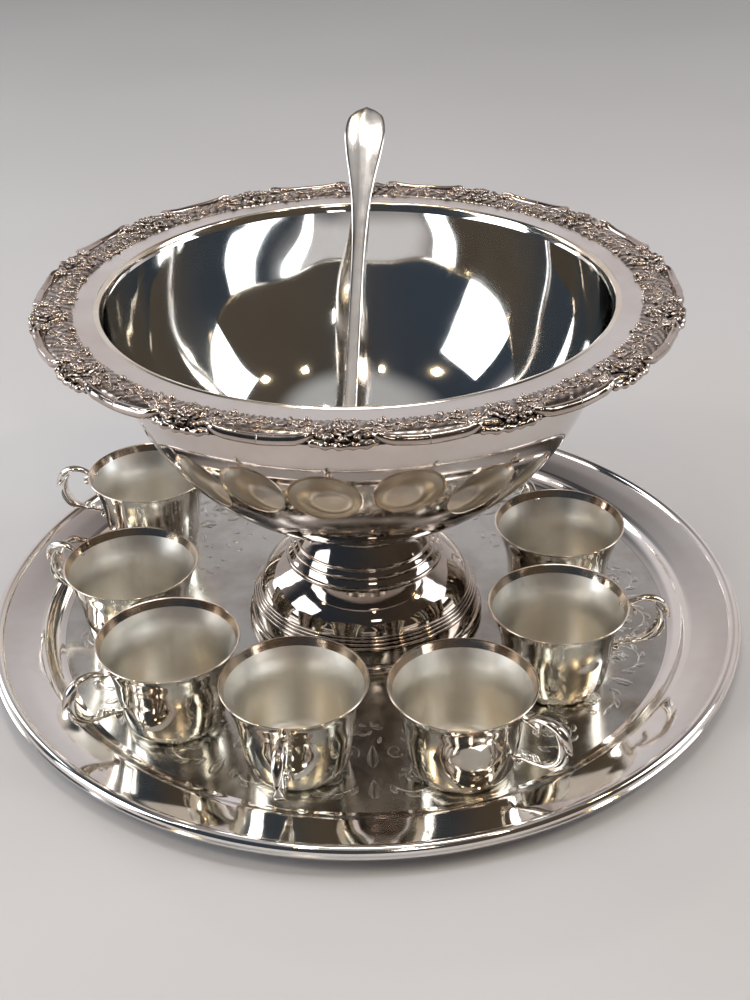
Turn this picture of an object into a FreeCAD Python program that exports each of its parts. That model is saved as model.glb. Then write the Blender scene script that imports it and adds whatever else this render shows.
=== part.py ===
import FreeCAD, Part
import Sketcher
import math
import os

# A silver-plated punch service: a footed bowl with a cast floral border, a ladle, eight
# handled cups and the round tray that they stand on.
# Frame: millimetres, +Z up, origin at the centre of the tray's flat underside, front at -Y.
# Heights inside each revolved piece are measured from the surface that the piece stands on.

os.makedirs("parts", exist_ok=True)

DIMENSIONS = [
    # tray
    ("tray_gauge", 1.5),
    ("tray_floor_radius", 200.0),
    ("tray_wall_radius", 211.0),
    ("tray_wall_height", 9.5),
    ("tray_flange_height", 13.0),
    ("tray_flange_radius", 236.8),
    ("tray_cove_radius", 14.0),
    ("tray_edge_radius", 240.6),
    ("tray_edge_height", 12.3),
    ("tray_edge_rod", 4.2),
    # bowl
    ("bowl_gauge", 1.2),
    ("bowl_bottom", 76.0),
    ("bowl_wall_radius", 151.05),
    ("bowl_wall_height", 220.4),
    ("bowl_lip_radius", 157.05),
    ("bowl_lip_bend", 6.0),
    ("bowl_flange_radius", 186.0),
    ("bowl_flange_height", 227.6),
    # foot
    ("foot_wire_inner", 70.5),
    ("foot_wire_flat", 74.2),
    ("foot_wire_bend", 4.2),
    ("foot_wire_height", 6.6),
    ("foot_band_radius", 74.4),
    ("foot_band_height", 17.5),
    ("foot_ring_radius", 72.6),
    ("foot_ring_height", 20.5),
    ("foot_shoulder_radius", 69.0),
    ("foot_shoulder_height", 26.0),
    ("foot_shoulder_bend", 44.0),
    ("foot_step_radius", 46.6),
    ("foot_step_height", 44.0),
    ("foot_waist_radius", 44.4),
    ("foot_waist_height", 46.2),
    ("foot_waist_bend", 70.0),
    ("foot_top_radius", 35.0),
    ("foot_top_height", 76.5),
    ("collar_inner", 30.0),
    ("collar_outer", 36.2),
    ("collar_bend", 1.5),
    ("collar_height", 79.8),
    # cast border of the bowl
    ("border_repeats", 14.0),
    ("border_first_bearing", -113.6),
    ("border_inner_radius", 167.5),
    ("border_outer_radius", 187.2),
    ("border_rise", 2.6),
    ("border_crown", 3.4),
    ("border_drop", 2.6),
    ("border_shoulder_radius", 170.5),
    ("border_crown_radius", 181.0),
    ("border_edge_bend", 6.5),
    ("flower_bearing", 20.3),
    ("flower_radius", 180.2),
    ("flower_length", 16.5),
    ("flower_width", 10.2),
    ("flower_depth", 4.6),
    ("scroll_bearing", 7.5),
    ("scroll_radius", 96.0),
    ("scroll_reach", 188.4),
    ("scroll_rod", 2.3),
    ("scroll_spread", 13.0),
    # cups
    ("cup_gauge", 1.0),
    ("cup_base_radius", 24.5),
    ("cup_heel_radius", 31.2),
    ("cup_heel_height", 8.0),
    ("cup_heel_bend", 9.0),
    ("cup_waist_radius", 34.4),
    ("cup_waist_height", 34.0),
    ("cup_side_bend", 130.0),
    ("cup_lip_radius", 42.5),
    ("cup_lip_height", 58.0),
    ("cup_flare_bend", 80.0),
    ("cup_lip_edge", 0.9),
    # cup handles, measured outwards from the cup's axis and up from its base
    ("handle_rod", 1.8),
    ("handle_root_radius", 33.3),
    ("handle_root_height", 23.4),
    ("handle_arm_length", 13.4),
    ("handle_arm_slope", 4.0),
    ("handle_bow_radius", 17.4),
    ("handle_crown_radius", 12.5),
    ("handle_crown_turn", 90.0),
    ("handle_crown_run", 3.2),
    ("handle_curl_radius", 7.3),
    ("handle_curl_turn", 60.0),
    ("handle_volute_radius", 3.3),
    ("handle_volute_turn", 200.0),
    ("handle_bead_radius", 2.3),
    # ladle
    ("ladle_lean", 40.5),
    ("ladle_heading", 6.1),
    ("ladle_neck_x", -10.8),
    ("ladle_neck_y", -2.3),
    ("ladle_neck_z", 101.6),
    ("ladle_mouth_radius", 42.0),
    ("ladle_depth", 28.0),
    ("ladle_gauge", 1.2),
    ("ladle_pitch", 24.5),
    ("ladle_handle_length", 279.0),
    ("ladle_tip_curl", 5.5),
]

# Each cup: its centre on the tray, and the bearing of its handle from +X.
CUPS = [
    ("cup_1", -43.2, -153.5, -97.0),
    ("cup_2", 51.1, -160.8, -38.0),
    ("cup_3", -117.7, -109.3, -144.0),
    ("cup_4", -148.6, -25.9, 150.0),
    ("cup_5", -149.0, 90.2, 168.0),
    ("cup_6", 114.9, -86.3, 6.0),
    ("cup_7", 128.4, 5.9, 104.0),
    ("cup_8", 25.0, 165.0, 80.0),
]

# Sketcher numbers: the axes' geometry indices, and an arc's centre point.
H_AXIS = -1
V_AXIS = -2
CENTRE = 3

# Which side of the direction of travel an arc's centre lies on.
LEFT = 1
RIGHT = -1

doc = FreeCAD.newDocument("punch_service")
dims = doc.addObject("Spreadsheet::Sheet", "dims")


def fill_sheet():
    """Put every driving dimension in the sheet, one alias for each value."""
    rows = list(DIMENSIONS)
    for cup, east, north, bearing in CUPS:
        rows.append((cup + "_east", east))
        rows.append((cup + "_north", north))
        rows.append((cup + "_handle_bearing", bearing))
    for row, (alias, value) in enumerate(rows, start=1):
        dims.set("A%d" % row, alias)
        dims.set("B%d" % row, str(value))
        dims.setAlias("B%d" % row, alias)
    doc.recompute()


def size(name):
    return float(getattr(dims, name))


def total(terms):
    """The value of a sum of aliases and numbers, such as 'cup_lip_radius - 0.5'."""
    result = 0.0
    sign = 1.0
    for word in terms.split():
        if word in "+-":
            sign = 1.0 if word == "+" else -1.0
        else:
            result += sign * (size(word) if word[0].isalpha() else float(word))
    return result


def bound(terms):
    """The same sum as an expression on the sheet."""
    return " ".join("dims." + word if word[0].isalpha() else word for word in terms.split())


def vector(x, y, z=0.0):
    return FreeCAD.Vector(x, y, z)


def arc_centre(start, end, bend):
    """Centre of the arc from start to end: on the axis, or bend = (radius terms, side)."""
    if bend == "on_axis":
        rise = end.y - start.y
        height = (end.x ** 2 - start.x ** 2 + end.y ** 2 - start.y ** 2) / (2.0 * rise)
        return vector(0.0, height)
    terms, side = bend
    chord = end - start
    reach = math.sqrt(total(terms) ** 2 - (chord.Length / 2.0) ** 2)
    normal = vector(-chord.y, chord.x) / chord.Length
    return (start + end) / 2.0 + normal * (side * reach)


def add_edge(sketch, start, end, bend):
    """Add one outline edge. Returns its index and the point numbers of its start and end."""
    if bend is None:
        return sketch.addGeometry(Part.LineSegment(start, end), False), 1, 2
    centre = arc_centre(start, end, bend)
    radius = (start - centre).Length
    first = math.atan2(start.y - centre.y, start.x - centre.x)
    last = math.atan2(end.y - centre.y, end.x - centre.x)
    turns_left = (end - start).cross(centre - start).z > 0
    if not turns_left:
        first, last = last, first
    if last < first:
        last += 2.0 * math.pi
    circle = Part.Circle(centre, vector(0, 0, 1), radius)
    index = sketch.addGeometry(Part.ArcOfCircle(circle, first, last), False)
    return (index, 1, 2) if turns_left else (index, 2, 1)


def pin(sketch, kind, edge, point, terms, axis):
    """Dimension a corner from the origin, or hold it on the axis where its terms are 0."""
    if terms == "0":
        sketch.addConstraint(Sketcher.Constraint("PointOnObject", edge, point, axis))
        return
    index = sketch.addConstraint(Sketcher.Constraint(kind, -1, 1, edge, point, total(terms)))
    sketch.setExpression("Constraints[%d]" % index, bound(terms))


def draw_outline(sketch, outline):
    """Draw a closed outline. Each corner is (radius terms, height terms, bend of next edge)."""
    corners = [vector(total(radius), total(height)) for radius, height, _ in outline]
    edges = []
    for number, (_, _, bend) in enumerate(outline):
        following = corners[(number + 1) % len(corners)]
        edges.append(add_edge(sketch, corners[number], following, bend))
    for number, (edge, _, end_point) in enumerate(edges):
        next_edge, next_start, _ = edges[(number + 1) % len(edges)]
        joint = Sketcher.Constraint("Coincident", edge, end_point, next_edge, next_start)
        sketch.addConstraint(joint)
    for (radius, height, bend), (edge, start_point, _) in zip(outline, edges):
        pin(sketch, "DistanceX", edge, start_point, radius, V_AXIS)
        pin(sketch, "DistanceY", edge, start_point, height, H_AXIS)
        if bend == "on_axis":
            sketch.addConstraint(Sketcher.Constraint("PointOnObject", edge, CENTRE, V_AXIS))
        elif bend is not None:
            index = sketch.addConstraint(Sketcher.Constraint("Radius", edge, total(bend[0])))
            sketch.setExpression("Constraints[%d]" % index, bound(bend[0]))


def origin_plane(body, role):
    return next(plane for plane in body.Origin.OriginFeatures if plane.Role == role)


def turned_body(label, outline, sweep="360"):
    """A body turned about Z from an outline in its XZ plane, standing on the tray's floor."""
    body = doc.addObject("PartDesign::Body", label)
    body.Label = label
    sketch = body.newObject("Sketcher::SketchObject", label + "_outline")
    sketch.AttachmentSupport = (origin_plane(body, "XZ_Plane"), [""])
    sketch.MapMode = "FlatFace"
    draw_outline(sketch, outline)
    turn = body.newObject("PartDesign::Revolution", label + "_turn")
    turn.Profile = sketch
    turn.ReferenceAxis = (sketch, ["V_Axis"])
    turn.setExpression("Angle", sweep)
    body.setExpression(".Placement.Base.z", "dims.tray_gauge")
    doc.recompute()
    return body


def cut_from(label, base, tool):
    """The base with the tool's space taken out, so that the two meet face to face."""
    cut = doc.addObject("Part::Cut", label)
    cut.Label = label
    cut.Base = base
    cut.Tool = tool
    doc.recompute()
    return cut


def largest_solid(shape):
    """The main piece of a cut, without the slivers on the far side of the cutter."""
    return max(shape.Solids, key=lambda solid: solid.Volume)


def loose_feature(label, shape, placement):
    """A cast or forged piece whose shape is set directly."""
    feature = doc.addObject("Part::Feature", label)
    feature.Label = label
    feature.Shape = shape
    feature.Placement = placement
    return feature


def make_tray():
    plate = turned_body("tray_plate", [
        ("0", "0", None),
        ("tray_floor_radius", "0", ("tray_cove_radius + tray_gauge", LEFT)),
        ("tray_wall_radius + tray_gauge", "tray_wall_height - tray_gauge", None),
        ("tray_flange_radius", "tray_flange_height - tray_gauge", None),
        ("tray_flange_radius", "tray_flange_height", None),
        ("tray_wall_radius", "tray_wall_height", ("tray_cove_radius", RIGHT)),
        ("tray_floor_radius", "tray_gauge", None),
        ("0", "tray_gauge", None),
    ])
    plate.setExpression(".Placement.Base.z", "0")
    rod = doc.addObject("Part::Torus", "tray_edge_rod")
    rod.setExpression("Radius1", "dims.tray_edge_radius")
    rod.setExpression("Radius2", "dims.tray_edge_rod")
    rod.setExpression(".Placement.Base.z", "dims.tray_edge_height")
    doc.recompute()
    return [plate, cut_from("tray_edge_wire", rod, plate)]


def make_bowl_shell():
    return turned_body("bowl_shell", [
        ("0", "bowl_bottom", "on_axis"),
        ("bowl_wall_radius", "bowl_wall_height", ("bowl_lip_bend", RIGHT)),
        ("bowl_lip_radius", "bowl_flange_height - bowl_gauge", None),
        ("bowl_flange_radius", "bowl_flange_height - bowl_gauge", None),
        ("bowl_flange_radius", "bowl_flange_height", None),
        ("bowl_lip_radius", "bowl_flange_height", ("bowl_lip_bend + bowl_gauge", LEFT)),
        ("bowl_wall_radius - bowl_gauge", "bowl_wall_height", "on_axis"),
        ("0", "bowl_bottom + bowl_gauge", None),
    ])


def make_foot(bowl_shell):
    """The spun pedestal, the half-round wire under it and the collar that joins the bowl."""
    pedestal = turned_body("pedestal_foot", [
        ("foot_band_radius", "foot_wire_height", None),
        ("foot_band_radius", "foot_band_height", None),
        ("foot_ring_radius", "foot_ring_height", None),
        ("foot_shoulder_radius", "foot_shoulder_height", ("foot_shoulder_bend", LEFT)),
        ("foot_step_radius", "foot_step_height", None),
        ("foot_waist_radius", "foot_waist_height", ("foot_waist_bend", RIGHT)),
        ("foot_top_radius", "foot_top_height + bowl_gauge", None),
        ("collar_inner", "foot_top_height + bowl_gauge", None),
        ("collar_inner", "foot_top_height", None),
        ("foot_top_radius - bowl_gauge", "foot_top_height", ("foot_waist_bend + bowl_gauge", LEFT)),
        ("foot_waist_radius - bowl_gauge", "foot_waist_height - bowl_gauge", None),
        ("foot_step_radius - bowl_gauge", "foot_step_height - bowl_gauge",
         ("foot_shoulder_bend - bowl_gauge", RIGHT)),
        ("foot_shoulder_radius - bowl_gauge", "foot_shoulder_height", None),
        ("foot_ring_radius - bowl_gauge", "foot_ring_height", None),
        ("foot_band_radius - bowl_gauge", "foot_band_height", None),
        ("foot_band_radius - bowl_gauge", "foot_wire_height", None),
    ])
    wire = turned_body("foot_wire", [
        ("foot_wire_inner", "0", None),
        ("foot_wire_flat", "0", ("foot_wire_bend", LEFT)),
        ("foot_wire_flat", "foot_wire_height", None),
        ("foot_wire_inner", "foot_wire_height", None),
    ])
    ring = turned_body("neck_ring", [
        ("collar_inner", "foot_top_height + bowl_gauge", None),
        ("foot_top_radius", "foot_top_height + bowl_gauge", ("collar_bend", LEFT)),
        ("collar_outer", "collar_height", None),
        ("collar_inner", "collar_height", None),
    ])
    return [pedestal, wire, cut_from("neck_collar", ring, bowl_shell)]


def make_border_casting(number):
    """One cast repeat: a low moulding, a C-scroll along its edge and a flower beside it."""
    label = "border_casting_%02d" % number
    body = turned_body(label, [
        ("border_inner_radius", "bowl_flange_height", None),
        ("border_shoulder_radius", "bowl_flange_height + border_rise", None),
        ("border_crown_radius", "bowl_flange_height + border_crown", ("border_edge_bend", RIGHT)),
        ("border_outer_radius", "bowl_flange_height - border_drop", None),
        ("bowl_flange_radius", "bowl_flange_height - border_drop", None),
        ("bowl_flange_radius", "bowl_flange_height", None),
    ], sweep="360 / dims.border_repeats")
    repeat = 360.0 / size("border_repeats")
    height = size("bowl_flange_height")

    flower = body.newObject("PartDesign::AdditiveEllipsoid", label + "_flower")
    flower.setExpression("Radius1", "dims.flower_depth")
    flower.setExpression("Radius2", "dims.flower_width")
    flower.setExpression("Radius3", "dims.flower_length")
    bearing = math.radians(size("flower_bearing"))
    reach = size("flower_radius")
    flower_spot = vector(reach * math.cos(bearing), reach * math.sin(bearing), height)
    flower.Placement = FreeCAD.Placement(flower_spot, FreeCAD.Rotation(size("flower_bearing"), 0, 0))

    scroll = body.newObject("PartDesign::AdditiveTorus", label + "_scroll")
    scroll.setExpression("Radius1", "dims.scroll_radius")
    scroll.setExpression("Radius2", "dims.scroll_rod")
    scroll.setExpression("Angle3", "2 * dims.scroll_spread")
    bearing = math.radians(size("scroll_bearing"))
    reach = size("scroll_reach") - size("scroll_radius") - size("scroll_rod")
    scroll_spot = vector(reach * math.cos(bearing), reach * math.sin(bearing), height)
    first = size("scroll_bearing") - size("scroll_spread")
    scroll.Placement = FreeCAD.Placement(scroll_spot, FreeCAD.Rotation(first, 0, 0))

    rebate = body.newObject("PartDesign::SubtractiveCylinder", label + "_rebate")
    rebate.setExpression("Radius", "dims.bowl_flange_radius")
    rebate.setExpression("Height", "dims.flower_depth + dims.scroll_rod")
    depth = size("flower_depth") + size("scroll_rod")
    rebate.Placement = FreeCAD.Placement(vector(0, 0, height - depth), FreeCAD.Rotation())
    body.Tip = rebate

    turn = size("border_first_bearing") + repeat * (number - 1)
    spot = vector(0, 0, size("tray_gauge"))
    body.Placement = FreeCAD.Placement(spot, FreeCAD.Rotation(turn, 0, 0))
    doc.recompute()
    return body


def bent_rod(start, heading, moves, radius):
    """Solids of a round rod in the XZ plane, and the spot that it ends on.

    Each move is (length, 0) for a straight run or (bend radius, degrees) for a left turn.
    """
    pieces = []
    spot = start
    for reach, turn in moves:
        ahead = math.radians(heading)
        forward = vector(math.cos(ahead), 0, math.sin(ahead))
        if turn == 0:
            pieces.append(Part.makeCylinder(radius, reach, spot, forward))
            spot = spot + forward * reach
        else:
            centre = spot + vector(-math.sin(ahead), 0, math.cos(ahead)) * reach
            outwards = (spot - centre).normalize()
            axis = vector(0, -1, 0)
            ring = Part.makeTorus(reach, radius, vector(0, 0), vector(0, 0, 1), -180, 180, turn)
            turned = FreeCAD.Rotation(outwards, axis.cross(outwards), axis, "ZXY")
            ring.Placement = FreeCAD.Placement(centre, turned)
            pieces.append(ring)
            spot = centre + FreeCAD.Rotation(axis, turn).multVec(spot - centre)
        heading += turn
    return pieces, spot


def handle_shape():
    """One cast cup handle in its own XZ plane: a bow, a rolled-over crown and a beaded volute."""
    upright = 90.0
    slope = size("handle_arm_slope")
    root = vector(size("handle_root_radius"), 0, size("handle_root_height"))
    pieces, tip = bent_rod(root, slope, [
        (size("handle_arm_length"), 0),
        (size("handle_bow_radius"), upright - slope),
        (size("handle_crown_radius"), size("handle_crown_turn")),
        (size("handle_crown_run"), 0),
        (size("handle_curl_radius"), size("handle_curl_turn")),
        (size("handle_volute_radius"), size("handle_volute_turn")),
    ], size("handle_rod"))
    return pieces[0].multiFuse(pieces[1:]).fuse(Part.makeSphere(size("handle_bead_radius"), tip))


def cup_outline():
    return [
        ("0", "0", None),
        ("cup_base_radius", "0", ("cup_heel_bend", LEFT)),
        ("cup_heel_radius", "cup_heel_height", ("cup_side_bend", LEFT)),
        ("cup_waist_radius", "cup_waist_height", ("cup_flare_bend", RIGHT)),
        ("cup_lip_radius", "cup_lip_height", None),
        ("cup_lip_radius - cup_lip_edge", "cup_lip_height", ("cup_flare_bend + cup_gauge", LEFT)),
        ("cup_waist_radius - cup_gauge", "cup_waist_height", ("cup_side_bend - cup_gauge", RIGHT)),
        ("cup_heel_radius - cup_gauge", "cup_heel_height", ("cup_heel_bend - cup_gauge", RIGHT)),
        ("cup_base_radius", "cup_gauge", None),
        ("0", "cup_gauge", None),
    ]


def make_cup(name, casting):
    """One cup on the tray, and its handle standing against the cup's wall."""
    cup = turned_body(name + "_body", cup_outline())
    cup.setExpression(".Placement.Base.x", "dims.%s_east" % name)
    cup.setExpression(".Placement.Base.y", "dims.%s_north" % name)
    doc.recompute()
    spot = vector(size(name + "_east"), size(name + "_north"), size("tray_gauge"))
    turn = FreeCAD.Rotation(size(name + "_handle_bearing"), 0, 0)
    return [cup, loose_feature(name + "_handle", casting, FreeCAD.Placement(spot, turn))]


def ladle_placement():
    """The ladle leans on the lip: its own Z runs up the handle, its own -Y faces the front."""
    spot = vector(size("ladle_neck_x"), size("ladle_neck_y"), size("ladle_neck_z"))
    lean = size("ladle_lean") - 90.0
    return FreeCAD.Placement(spot, FreeCAD.Rotation(-size("ladle_heading"), 0, lean))


def make_ladle():
    bowl = turned_body("ladle_bowl", [
        ("0", "0", "on_axis"),
        ("ladle_mouth_radius + ladle_gauge", "ladle_depth", None),
        ("ladle_mouth_radius", "ladle_depth", "on_axis"),
        ("0", "ladle_gauge", None),
    ])
    pitch = math.radians(size("ladle_pitch"))
    mouth = vector(0, -math.cos(pitch), -math.sin(pitch)) * size("ladle_mouth_radius")
    upright = vector(0, -math.sin(pitch), math.cos(pitch))
    tilt = FreeCAD.Rotation(vector(1, 0, 0), size("ladle_pitch"))
    in_ladle = FreeCAD.Placement(mouth - upright * size("ladle_depth"), tilt)
    body_shape = bowl.Shape.copy()
    body_shape.Placement = in_ladle
    bowl.setExpression(".Placement.Base.z", None)
    bowl.Placement = ladle_placement().multiply(in_ladle)

    length = size("ladle_handle_length")
    # stations up the handle: share of its length, half width, half thickness
    stations = [
        (-0.05, 4.0, 0.7),
        (-0.02, 6.5, 1.3),
        (0.02, 6.4, 1.6),
        (0.09, 5.2, 1.6),
        (0.30, 4.7, 1.6),
        (0.55, 4.6, 1.6),
        (0.69, 6.0, 1.5),
        (0.78, 8.6, 1.4),
        (0.86, 12.2, 1.3),
        (0.92, 13.9, 1.3),
        (0.965, 12.0, 1.2),
        (0.99, 7.4, 1.0),
        (1.0, 3.0, 0.7),
    ]
    curl_start = 0.86
    back = 1.6
    sections = []
    for share, half_width, half_thickness in stations:
        past = max(0.0, (share - curl_start) / (1.0 - curl_start))
        offset = back + size("ladle_tip_curl") * past ** 2
        centre = vector(0, offset, share * length)
        ellipse = Part.Ellipse(centre + vector(half_width, 0, 0),
                               centre + vector(0, half_thickness, 0), centre)
        sections.append(Part.Wire(ellipse.toShape()))
    blank = Part.makeLoft(sections, True, False)
    shape = largest_solid(blank.cut(body_shape))
    doc.recompute()
    return [bowl, loose_feature("ladle_handle", shape, ladle_placement())]


def check(objects):
    """Stop before writing if any object failed or any sub-part has no sound shape."""
    for item in doc.Objects:
        if "Invalid" in item.State or "Error" in item.State:
            raise RuntimeError("%s is %s" % (item.Label, item.State))
    for item in objects:
        if item.Shape.isNull() or not item.Shape.isValid():
            raise RuntimeError("%s has no sound shape" % item.Label)
        if len(item.Shape.Solids) != 1:
            raise RuntimeError("%s has %d solids" % (item.Label, len(item.Shape.Solids)))


fill_sheet()
sub_parts = make_tray()
shell = make_bowl_shell()
sub_parts.append(shell)
sub_parts += make_foot(shell)
for casting_number in range(1, int(size("border_repeats")) + 1):
    sub_parts.append(make_border_casting(casting_number))
sub_parts += make_ladle()
handle_casting = handle_shape()
for cup_name, _, _, _ in CUPS:
    sub_parts += make_cup(cup_name, handle_casting)
doc.recompute()
check(sub_parts)
for sub_part in sub_parts:
    sub_part.Shape.exportStep("parts/%s.step" % sub_part.Label)
    print("%-20s %10.0f mm3" % (sub_part.Label, sub_part.Shape.Volume))
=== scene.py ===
import bpy
import math
import random
from mathutils import Matrix, Vector


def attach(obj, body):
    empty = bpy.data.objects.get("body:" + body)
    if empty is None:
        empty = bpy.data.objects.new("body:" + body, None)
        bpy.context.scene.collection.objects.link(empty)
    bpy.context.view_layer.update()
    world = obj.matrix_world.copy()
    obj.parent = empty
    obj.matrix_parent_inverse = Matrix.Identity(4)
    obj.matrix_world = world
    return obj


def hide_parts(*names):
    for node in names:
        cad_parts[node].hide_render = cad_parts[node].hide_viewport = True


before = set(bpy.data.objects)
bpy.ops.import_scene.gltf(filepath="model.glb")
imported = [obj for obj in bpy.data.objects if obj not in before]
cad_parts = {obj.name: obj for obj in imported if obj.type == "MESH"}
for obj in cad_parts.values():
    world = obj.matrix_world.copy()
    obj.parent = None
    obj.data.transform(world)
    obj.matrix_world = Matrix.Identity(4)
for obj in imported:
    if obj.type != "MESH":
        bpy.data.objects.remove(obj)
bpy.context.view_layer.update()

# Lengths are in millimetres until a mesh is made.
MM = 0.001
FLOOR = 1.5  # the tray's floor above the frame's zero
TAU = 2.0 * math.pi

# Each cup's place, east and north of the centre, and the bearing of its handle in degrees.
CUPS = {
    "cup_1": (-43.2, -153.5, -97.0),
    "cup_2": (51.1, -160.8, -38.0),
    "cup_3": (-117.7, -109.3, -144.0),
    "cup_4": (-148.6, -25.9, 150.0),
    "cup_5": (-149.0, 90.2, 168.0),
    "cup_6": (114.9, -86.3, 6.0),
    "cup_7": (128.4, 5.9, 104.0),
    "cup_8": (25.0, 165.0, 80.0),
}

# Heights in the bowl's piece, above the tray's floor.
WIRE_TOP = 6.6
FOOT_TOP = 77.7
WALL_TOP = 220.4
FLANGE_UNDER = 226.4
FLANGE_TOP = 227.6

# The cast border: its repeats, the bearing of the first flower and the ring it is bent round.
REPEATS = 14
FIRST_CLUSTER = -93.3
BEND_RADIUS = 180.0


# ---------------------------------------------------------------- materials

class Nodes:
    """A material's node tree, with short ways to add and join nodes."""

    def __init__(self, name):
        self.material = bpy.data.materials.new(name)
        self.material.use_nodes = True
        self.tree = self.material.node_tree
        self.shader = self.tree.nodes["Principled BSDF"]

    def add(self, kind, **values):
        node = self.tree.nodes.new(kind)
        for key, value in values.items():
            setattr(node, key, value)
        return node

    def join(self, source, target):
        self.tree.links.new(source, target)

    def position(self, scale):
        """Object coordinates stretched by scale on each axis."""
        place = self.add("ShaderNodeTexCoord")
        mapping = self.add("ShaderNodeMapping")
        mapping.inputs["Scale"].default_value = scale
        self.join(place.outputs["Object"], mapping.inputs["Vector"])
        return mapping.outputs["Vector"]

    def noise(self, scale, detail=4.0, rough=0.55, stretch=(1, 1, 1)):
        node = self.add("ShaderNodeTexNoise")
        node.inputs["Scale"].default_value = scale
        node.inputs["Detail"].default_value = detail
        node.inputs["Roughness"].default_value = rough
        self.join(self.position(stretch), node.inputs["Vector"])
        return node.outputs["Fac"]

    def ramp(self, source, stops):
        node = self.add("ShaderNodeValToRGB")
        band = node.color_ramp
        while len(band.elements) < len(stops):
            band.elements.new(0.5)
        for element, (spot, colour) in zip(band.elements, stops):
            element.position = spot
            element.color = tuple(colour) + (1.0,)
        self.join(source, node.inputs["Fac"])
        return node.outputs["Color"]

    def levels(self, source, low, high, to_low, to_high):
        node = self.add("ShaderNodeMapRange")
        node.inputs["From Min"].default_value = low
        node.inputs["From Max"].default_value = high
        node.inputs["To Min"].default_value = to_low
        node.inputs["To Max"].default_value = to_high
        self.join(source, node.inputs["Value"])
        return node.outputs["Result"]

    def mix(self, factor, first, second):
        """A mix of two colours, each given as numbers or as a socket."""
        node = self.add("ShaderNodeMix", data_type="RGBA")
        self.join(factor, node.inputs["Factor"])
        sockets = [s for s in node.inputs if s.type == "RGBA"]
        for value, socket in zip((first, second), sockets):
            if hasattr(value, "links"):
                self.join(value, socket)
            else:
                socket.default_value = tuple(value) + (1.0,)
        return [s for s in node.outputs if s.type == "RGBA"][0]

    def bump(self, height, strength, distance, below=None):
        """The normal of a bump, laid over the normal below where there is one."""
        node = self.add("ShaderNodeBump")
        node.inputs["Strength"].default_value = strength
        node.inputs["Distance"].default_value = distance
        self.join(height, node.inputs["Height"])
        if below:
            self.join(below, node.inputs["Normal"])
        return node.outputs["Normal"]


TARNISH_SPREAD = (0.42, 0.68)  # the noise values between which tarnish sets in
RUB_DEPTH = 0.00002  # depths are in metres
GRAIN_DEPTH = 0.00015
RIPPLE_SCALE = 9.0
RIPPLE_DEPTH = 0.014


def silver(name, bright, tarnish, polish, haze, patch=9.0, scratch=0.05, waviness=0.0,
           stretch=(1, 1, 1)):
    """Silver plate: tarnish in soft patches, uneven polish and fine rubbing marks."""
    n = Nodes(name)
    n.shader.inputs["Metallic"].default_value = 1.0
    spread = n.levels(n.noise(patch, 5.0, 0.6), *TARNISH_SPREAD, 0.0, 1.0)
    n.join(n.mix(spread, bright, tarnish), n.shader.inputs["Base Color"])
    smear = n.noise(patch * 3.5, 3.0, 0.7, stretch)
    n.join(n.levels(smear, 0.35, 0.75, polish, haze), n.shader.inputs["Roughness"])
    ripple = n.bump(n.noise(RIPPLE_SCALE, 1.0, 0.3), waviness, RIPPLE_DEPTH) if waviness else None
    rubbing = n.bump(n.noise(900.0, 2.0, 0.5, stretch), scratch, RUB_DEPTH, ripple)
    n.join(rubbing, n.shader.inputs["Normal"])
    return n.material


def cast_silver(name, bright, tarnish, painted_shade, polish=0.13, haze=0.34, patch=14.0, grain=0.35):
    """Cast silver plate with painted shade: its colour goes towards a darker shade colour in the
    recesses, under the bars and round the feet of the beads, by the recess values of the mesh.
    """
    n = Nodes(name)
    n.shader.inputs["Metallic"].default_value = 1.0
    cloud = n.levels(n.noise(patch, 4.0, 0.6), 0.4, 0.66, 0.0, 1.0)
    skin = n.mix(cloud, bright, tarnish)
    recess_shade = n.add("ShaderNodeAttribute", attribute_name="recess_shade")
    shade_amount = n.levels(recess_shade.outputs["Fac"], 0.25, 0.95, 0.0, 1.0)
    # painted shade: the colour is mixed towards the shade colour where the recess values are high
    n.join(n.mix(shade_amount, skin, painted_shade), n.shader.inputs["Base Color"])
    n.join(n.levels(recess_shade.outputs["Fac"], 0.0, 1.0, polish, haze), n.shader.inputs["Roughness"])
    n.join(n.bump(n.noise(700.0, 3.0, 0.6), grain, GRAIN_DEPTH), n.shader.inputs["Normal"])
    return n.material


# The bowl's outside is given darker silver than its inside: painted shade for the darker tray and floor
# that it reflects.
MIRROR = silver("silver_mirror", (0.72, 0.67, 0.64), (0.60, 0.52, 0.47), 0.035, 0.085)
BOWL_IN = silver("silver_bowl_inside", (0.90, 0.90, 0.88), (0.82, 0.79, 0.75), 0.035, 0.075,
                 patch=6.0, waviness=0.5)
LIP = silver("silver_bowl_lip", (0.92, 0.86, 0.76), (0.84, 0.70, 0.55), 0.08, 0.16, patch=16.0)
FLANGE = silver("silver_flange", (0.86, 0.82, 0.80), (0.74, 0.66, 0.62), 0.27, 0.42, patch=11.0,
                scratch=0.12)
# The foot is given far darker silver than the bowl: painted shade for the darker surroundings it
# reflects beneath the bowl.
FOOT = silver("silver_foot", (0.52, 0.46, 0.41), (0.36, 0.30, 0.26), 0.035, 0.09, patch=18.0)
TRAY = silver("silver_tray", (0.90, 0.87, 0.84), (0.78, 0.68, 0.62), 0.05, 0.13, patch=5.0)
# The tray's floor is given darker silver than its rim: painted shade under the bowl, which the bowl's
# underside also reflects.
TRAY_FLOOR = silver("silver_tray_floor", (0.62, 0.61, 0.58), (0.42, 0.38, 0.34), 0.14, 0.26,
                    patch=16.0, scratch=0.12)
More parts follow.
